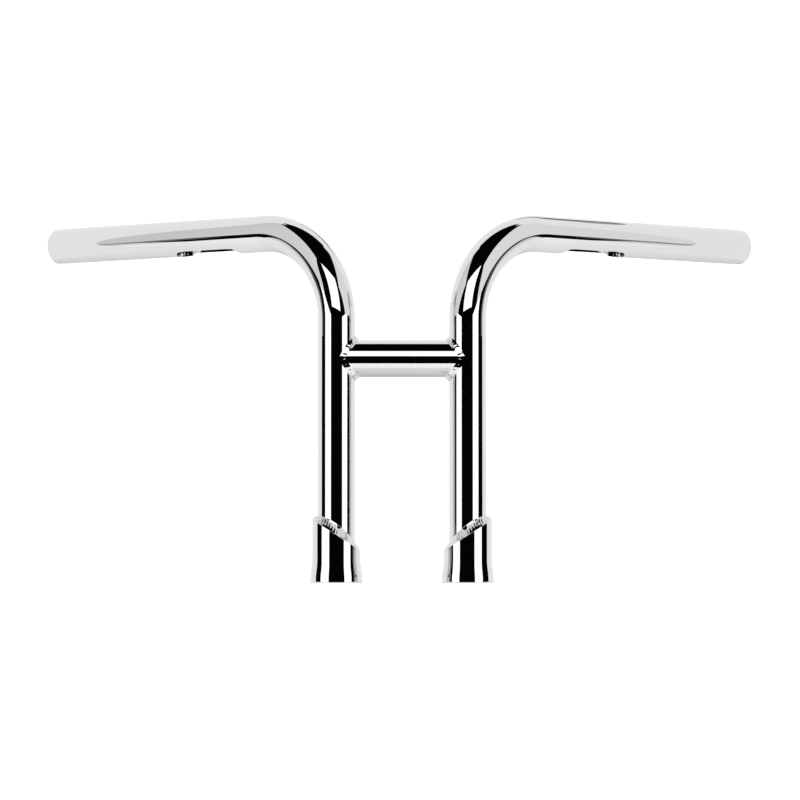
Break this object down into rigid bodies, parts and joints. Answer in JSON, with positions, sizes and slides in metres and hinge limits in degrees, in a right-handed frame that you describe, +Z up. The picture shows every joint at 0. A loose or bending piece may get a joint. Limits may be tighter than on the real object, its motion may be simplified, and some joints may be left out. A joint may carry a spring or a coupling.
{
  "type": "motorcycle handlebar",
  "caption": "Welded one-inch tube motorcycle handlebar with integral risers, a crossbar, swept-back handles, wire channels and tapped bases, chrome plated.",
  "frame": {"origin": "on the mounting plane under the riser bases, midway between the two tapped holes", "axes": "+X to the rider's left along the crossbar, +Y back towards the rider, +Z up along the risers; the picture looks along +Y from the front, so left pieces stand on its right"},
  "size_m": [0.5038, 0.1836, 0.2523],
  "materials": {
    "chrome_steel": "polished",
    "chrome_weld": "polished"
  },
  "bodies": {
    "root": {"crossbar": "chrome_steel", "left_bar_tube": "chrome_steel", "left_riser_base": "chrome_steel", "left_base_weld": "chrome_weld", "left_crossbar_weld": "chrome_weld", "right_bar_tube": "chrome_steel", "right_riser_base": "chrome_steel", "right_base_weld": "chrome_weld", "right_crossbar_weld": "chrome_weld"}
  },
  "joints": []
}
